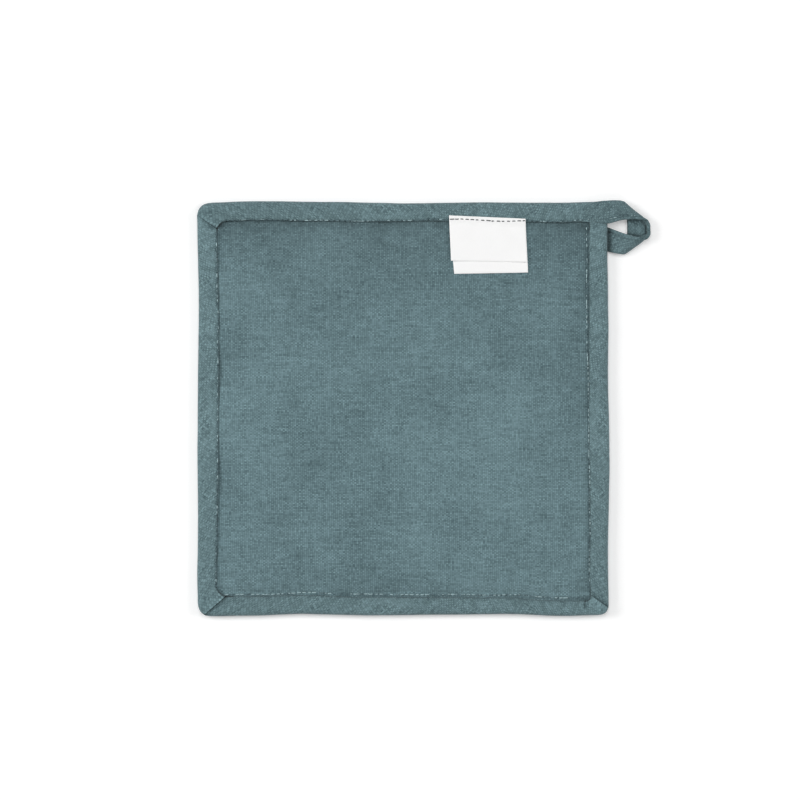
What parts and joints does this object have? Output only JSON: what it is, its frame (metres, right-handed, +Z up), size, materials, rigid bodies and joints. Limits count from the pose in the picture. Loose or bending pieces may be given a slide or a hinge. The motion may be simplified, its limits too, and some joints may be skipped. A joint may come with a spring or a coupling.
{
  "type": "pot holder",
  "caption": "Square padded cloth pot holder with plain weave panels, a folded bias binding with mitred corners, a hanging loop that runs on from the binding and a folded ribbon label.",
  "frame": {"origin": "on the table, below the middle of the pad, where its flat front face rests", "axes": "+Z up out of the back face, +Y towards the side with the label, +X towards the side with the hanging loop"},
  "size_m": [0.2209, 0.2023, 0.0072],
  "materials": {
    "teal_cloth": "matt plain weave cotton with slubs",
    "satin_ribbon": "soft sheen satin",
    "cotton_wadding": "matt fleece"
  },
  "bodies": {
    "root": {"back_panel": "teal_cloth", "front_panel": "teal_cloth", "wadding": "cotton_wadding", "edge_binding": "teal_cloth", "care_label": "satin_ribbon"}
  },
  "joints": []
}
